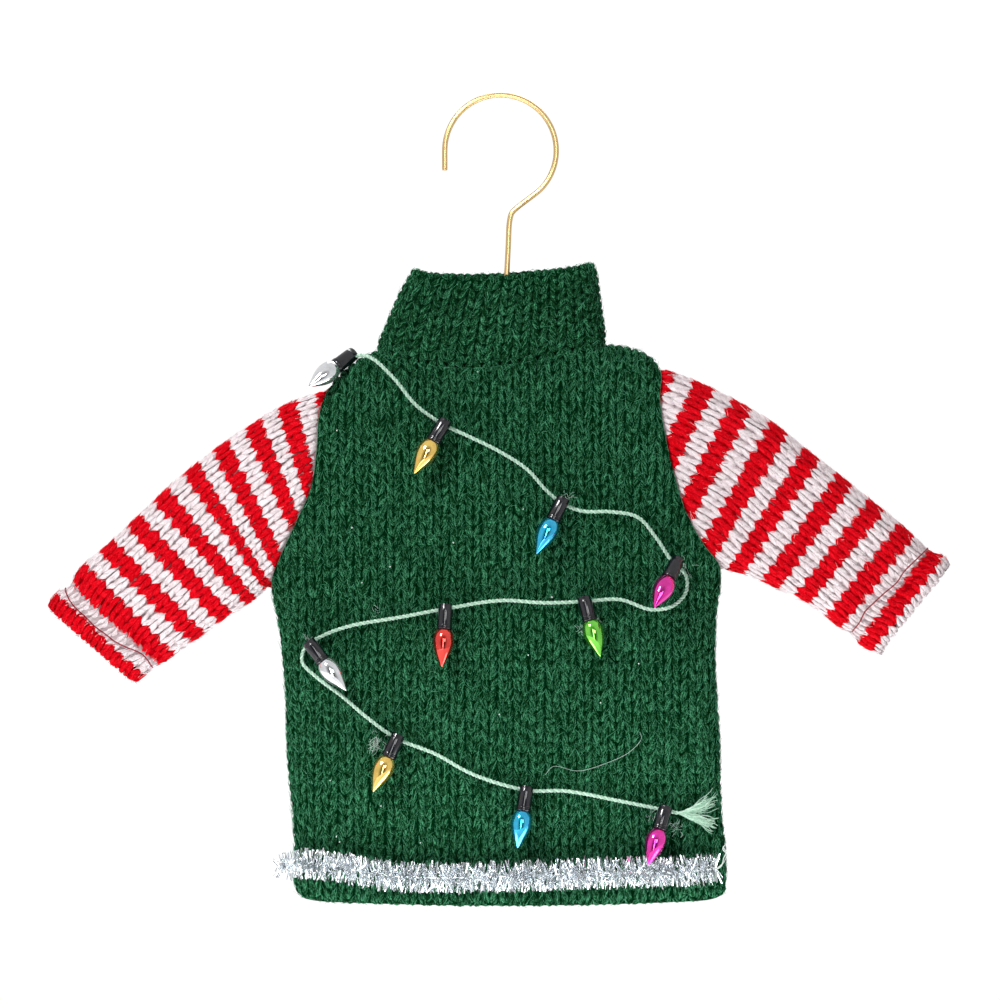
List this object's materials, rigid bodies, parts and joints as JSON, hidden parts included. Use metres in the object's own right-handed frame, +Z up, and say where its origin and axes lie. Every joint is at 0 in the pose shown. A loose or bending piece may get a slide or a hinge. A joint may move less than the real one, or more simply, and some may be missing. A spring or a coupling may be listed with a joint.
{
  "type": "miniature christmas sweater on a wire hanger",
  "caption": "Small hollow knitted sweater with striped sleeves, a string of lamps and tinsel on its front, hanging on a wire hanger with an open hook.",
  "frame": {"origin": "the point inside the top of the hanger's hook, on the wire, where the whole thing hangs", "axes": "+Z up, +X to the right as one looks at the front, front towards -Y"},
  "size_m": [0.1994, 0.0197, 0.1796],
  "materials": {
    "green_knit": "soft acrylic yarn in stocking stitch",
    "striped_knit": "acrylic yarn in stocking stitch, red and white stripes",
    "gold_wire": "drawn wire, pale gold plating",
    "pale_cord": "thin twisted cord, pale mint",
    "black_plastic": "moulded, glossy",
    "bulb_silver": "metallised, clear lacquer",
    "bulb_gold": "metallised, gold lacquer",
    "bulb_blue": "metallised, blue lacquer",
    "bulb_magenta": "metallised, magenta lacquer",
    "bulb_red": "metallised, red lacquer",
    "bulb_green": "metallised, green lacquer",
    "silver_foil": "thin metallised foil strips"
  },
  "bodies": {
    "root": {"front": "green_knit", "back": "green_knit", "sleeve_left": "striped_knit", "sleeve_right": "striped_knit", "collar": "green_knit", "hanger": "gold_wire", "light_cord": "pale_cord", "tinsel": "silver_foil", "socket_01": "black_plastic", "bulb_01": "bulb_silver", "socket_02": "black_plastic", "bulb_02": "bulb_gold", "socket_03": "black_plastic", "bulb_03": "bulb_blue", "socket_04": "black_plastic", "bulb_04": "bulb_magenta", "socket_05": "black_plastic", "bulb_05": "bulb_red", "socket_06": "black_plastic", "bulb_06": "bulb_green", "socket_07": "black_plastic", "bulb_07": "bulb_silver", "socket_08": "black_plastic", "bulb_08": "bulb_gold", "socket_09": "black_plastic", "bulb_09": "bulb_blue", "socket_10": "black_plastic", "bulb_10": "bulb_magenta"}
  },
  "joints": []
}
